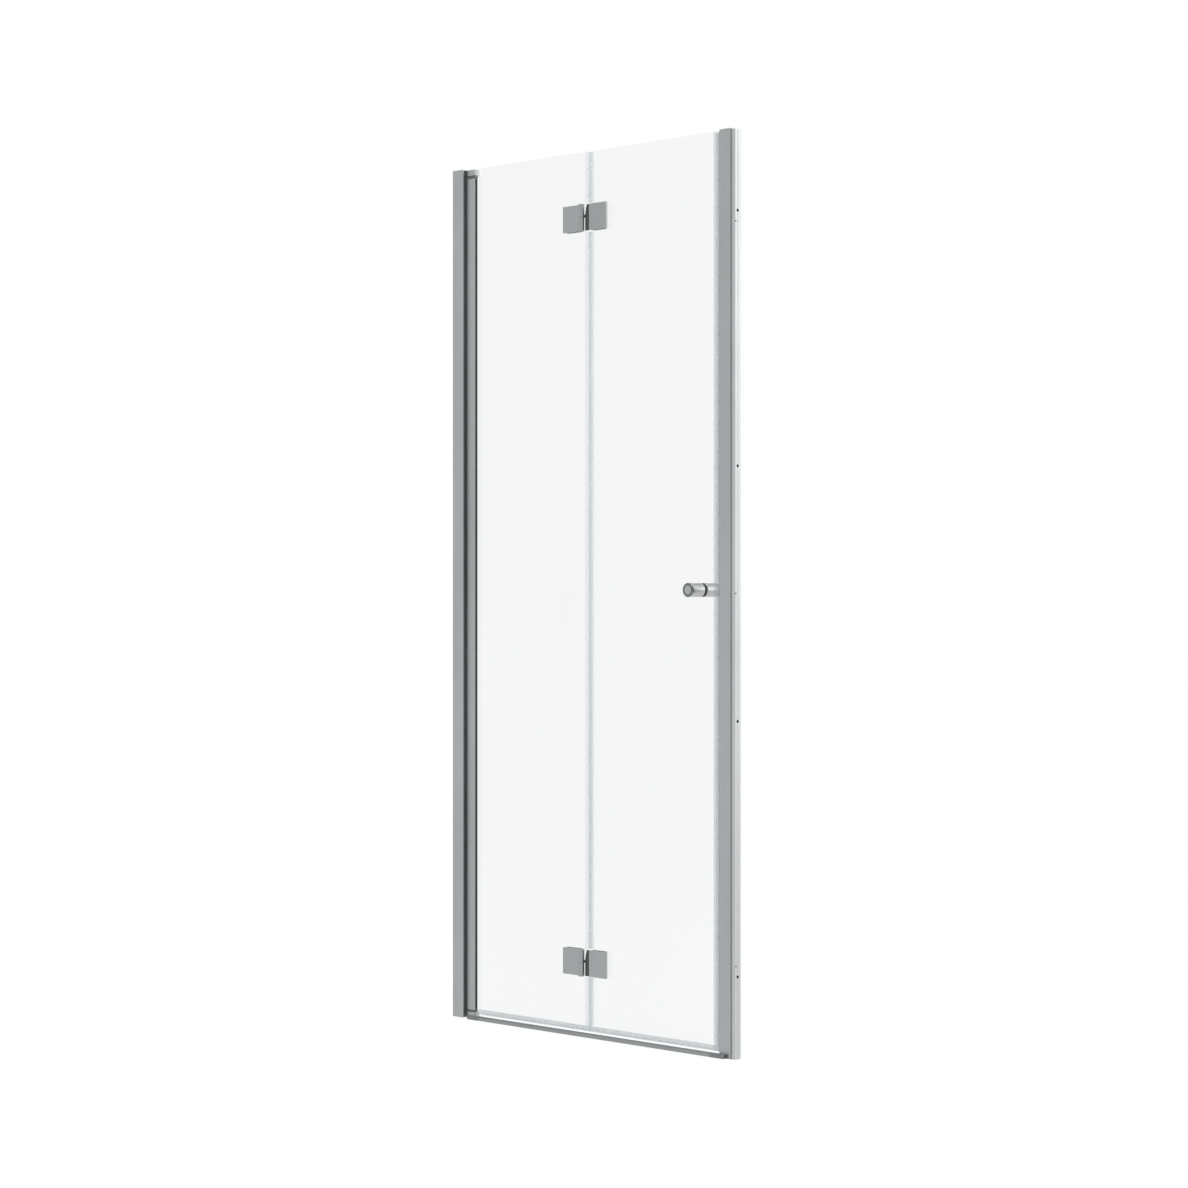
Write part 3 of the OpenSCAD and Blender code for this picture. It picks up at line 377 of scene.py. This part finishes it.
def ring_faces(first, second):
    """The corners of each face between two rings. A ring of one point closes an end."""
    steps = max(len(first), len(second))
    for step in range(steps):
        after = (step + 1) % steps
        if len(first) == 1:
            yield first[0], second[step], second[after]
        elif len(second) == 1:
            yield first[step], second[0], first[after]
        else:
            yield first[step], second[step], second[after], first[after]


def lathe(name, profile, materials, centre, direction, steps=96):
    """A turned piece along Y. The profile is (distance, radius, material number)."""
    mesh = bpy.data.meshes.new(name)
    shape = bmesh.new()
    rings = []
    for distance, radius, _ in profile:
        y = centre[1] + direction * distance
        ring = []
        for step in range(steps if radius > 0.0 else 1):
            turn = 2 * math.pi * step / steps
            x = centre[0] + radius * math.cos(turn)
            ring.append(shape.verts.new((x, y, centre[2] + radius * math.sin(turn))))
        rings.append(ring)
    for number in range(len(rings) - 1):
        for corners in ring_faces(rings[number], rings[number + 1]):
            face = shape.faces.new(corners)
            face.material_index = profile[number][2]
            face.smooth = True
    bmesh.ops.recalc_face_normals(shape, faces=shape.faces)
    shape.to_mesh(mesh)
    shape.free()
    mesh.set_sharp_from_angle(angle=math.radians(SHARP_DEGREES))
    piece = bpy.data.objects.new(name, mesh)
    bpy.context.scene.collection.objects.link(piece)
    for material in materials:
        mesh.materials.append(material)
    return piece


def knob_profile(radius, reach):
    """Half a knob from its face to the pane: sunk disc, broad rim and waisted grip."""
    sunk = 0.0005
    soft = 0.00008
    rim_edge = 0.0004
    grip_from = 0.0009
    grip_end = 0.001
    end_edge = 0.0003
    edge_share = 0.985
    waist = 0.03
    waist_steps = 14
    profile = [
        (sunk, 0.0, DISC),
        (sunk, radius * 0.615, DISC),
        (sunk * 0.8, radius * 0.62, RIM),
        (soft, radius * 0.63, RIM),
        (0.0, radius * 0.645, RIM),
        (0.0, radius * 0.9, RIM),
        (soft, radius * 0.945, RIM),
        (rim_edge, radius * edge_share, RIM),
        (grip_from, radius, GRIP),
    ]
    for step in range(1, waist_steps):
        share = step / waist_steps
        depth = waist * math.sin(math.pi * share) ** 2
        distance = grip_from + share * (reach - (grip_from + grip_end))
        profile.append((distance, radius * (1 - depth), GRIP))
    profile.append((reach - grip_end, radius, GRIP))
    profile.append((reach - end_edge, radius * edge_share, GRIP))
    profile.append((reach, radius * 0.96, GRIP))
    profile.append((reach, 0.0, GRIP))
    return profile


def knob_half(name, node, inward, materials):
    """One half of the knob, turned to the size of its CAD box."""
    low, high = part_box(node)
    radius = (high[0] - low[0]) / 2
    start = high[1] if inward else low[1]
    centre = ((low[0] + high[0]) / 2, start, (low[2] + high[2]) / 2)
    profile = knob_profile(radius, high[1] - low[1])
    piece = lathe(name, profile, materials, centre, -1 if inward else 1)
    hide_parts(node)
    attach(piece, "leaf_b")


def build_knob():
    disc = metal("knob_disc_satin", ANODISED, KNOB_GRAIN, roughness=0.36)
    # The rim's dark tone is painted shade of the groove around the sunk disc
    rim = metal("knob_ring_painted_shade", KNOB_RIM_PAINTED_SHADE, KNOB_GRAIN, roughness=0.34)
    grip = metal("knob_grip_satin", CHROME, KNOB_GRAIN, roughness=0.24, depth=0.02, grain_by=0.3)
    knob_half("knob_outer_turned", "knob_outer", False, (disc, rim, grip))
    knob_half("knob_inner_turned", "knob_inner", True, (disc, rim, grip))


def world_ramp(tree, towards, facing, levels):
    """A light level that changes smoothly as the direction turns towards a vector."""
    place = tree.nodes.new("ShaderNodeTexCoord")
    dot = tree.nodes.new("ShaderNodeVectorMath")
    dot.operation = "DOT_PRODUCT"
    dot.inputs[1].default_value = towards
    ramp = tree.nodes.new("ShaderNodeMapRange")
    ramp.interpolation_type = "SMOOTHSTEP"
    ramp.inputs["From Min"].default_value = facing[0]
    ramp.inputs["From Max"].default_value = facing[1]
    ramp.inputs["To Min"].default_value = levels[0]
    ramp.inputs["To Max"].default_value = levels[1]
    tree.links.new(place.outputs["Generated"], dot.inputs[0])
    tree.links.new(dot.outputs["Value"], ramp.inputs["Value"])
    return ramp.outputs["Result"]


def math_node(tree, operation, first, second):
    node = tree.nodes.new("ShaderNodeMath")
    node.operation = operation
    tree.links.new(first, node.inputs[0])
    tree.links.new(second, node.inputs[1])
    return node.outputs["Value"]


def build_world():
    """Soft white studio light, seen as it is: brighter at the right rear, calmer above
    and a little calmer on the camera's side."""
    world = bpy.data.worlds.new("studio")
    bpy.context.scene.world = world
    world.use_nodes = True
    tree = world.node_tree
    tree.nodes.clear()
    output = tree.nodes.new("ShaderNodeOutputWorld")
    light = tree.nodes.new("ShaderNodeBackground")
    light.inputs["Color"].default_value = (*WHITE, 1.0)
    sides = [world_ramp(tree, *side) for side in (RIGHT_REAR, CAMERA_SIDE)]
    around = math_node(tree, "MULTIPLY", *sides)
    level = math_node(tree, "MULTIPLY", around, world_ramp(tree, *OVERHEAD))
    tree.links.new(level, light.inputs["Strength"])
    tree.links.new(light.outputs["Background"], output.inputs["Surface"])


def seen_rays(tree):
    """1 for what the camera, metal and glass see, 0 for light on matt surfaces."""
    rays = tree.nodes.new("ShaderNodeLightPath").outputs
    total = math_node(tree, "MAXIMUM", rays["Is Camera Ray"], rays["Is Glossy Ray"])
    return math_node(tree, "MAXIMUM", total, rays["Is Transmission Ray"])


def floor_material():
    """Matt and pale for the light it returns, and mostly a white glow where it is seen."""
    shader = Shader("pale_floor")
    matt = shader.add("ShaderNodeBsdfDiffuse")
    matt.inputs["Color"].default_value = (*FLOOR, 1.0)
    white = shader.add("ShaderNodeEmission")
    white.inputs["Strength"].default_value = FLOOR_GLOW
    share = shader.add("ShaderNodeMath")
    share.operation = "MULTIPLY"
    share.inputs[1].default_value = FLOOR_GLOW_SHARE
    shader.link(seen_rays(shader.tree), share.inputs[0])
    seen = share.outputs["Value"]
    return shader.finish(shader.mix(seen, matt.outputs["BSDF"], white.outputs["Emission"]))


def build_floor():
    """A floor that reads as white in the picture and keeps a faint shadow of the door."""
    mesh = bpy.data.meshes.new("floor")
    signs = ((-1, -1), (1, -1), (1, 1), (-1, 1))
    corners = [(x * FLOOR_HALF, y * FLOOR_HALF, FLOOR_HEIGHT) for x, y in signs]
    mesh.from_pydata(corners, [], [(0, 1, 2, 3)])
    floor = bpy.data.objects.new("floor", mesh)
    bpy.context.scene.collection.objects.link(floor)
    mesh.materials.append(floor_material())


def add_softbox(name, place, aim, size, power):
    data = bpy.data.lights.new(name, "AREA")
    data.shape = "SQUARE"
    data.size = size
    data.energy = power
    lamp = bpy.data.objects.new(name, data)
    lamp.location = place
    direction = Vector(aim) - Vector(place)
    lamp.rotation_euler = direction.to_track_quat("-Z", "Y").to_euler()
    bpy.context.scene.collection.objects.link(lamp)


def build_lamps():
    over_door = (0.6, 0.8, 4.6)
    door_middle = (0.0, 0.0, 0.9)
    add_softbox("top_softbox", over_door, door_middle, size=3.0, power=50.0)


def build_camera():
    data = bpy.data.cameras.new("camera")
    data.sensor_width = SENSOR_MM
    data.lens = LENS_MM
    data.clip_end = FAR_CLIP
    camera = bpy.data.objects.new("camera", data)
    camera.location = CAMERA_PLACE
    camera.rotation_euler = Vector(CAMERA_AIM).to_track_quat("-Z", "Y").to_euler()
    bpy.context.scene.collection.objects.link(camera)
    bpy.context.scene.camera = camera


bpy.context.scene.view_settings.view_transform = "Standard"
bpy.context.scene.cycles.transparent_max_bounces = SEE_THROUGH_WALLS
paint_metals()
paint_glass_and_seals()
paint_rubber()
paint_plastics()
build_knob()
build_world()
build_floor()
build_lamps()
build_camera()
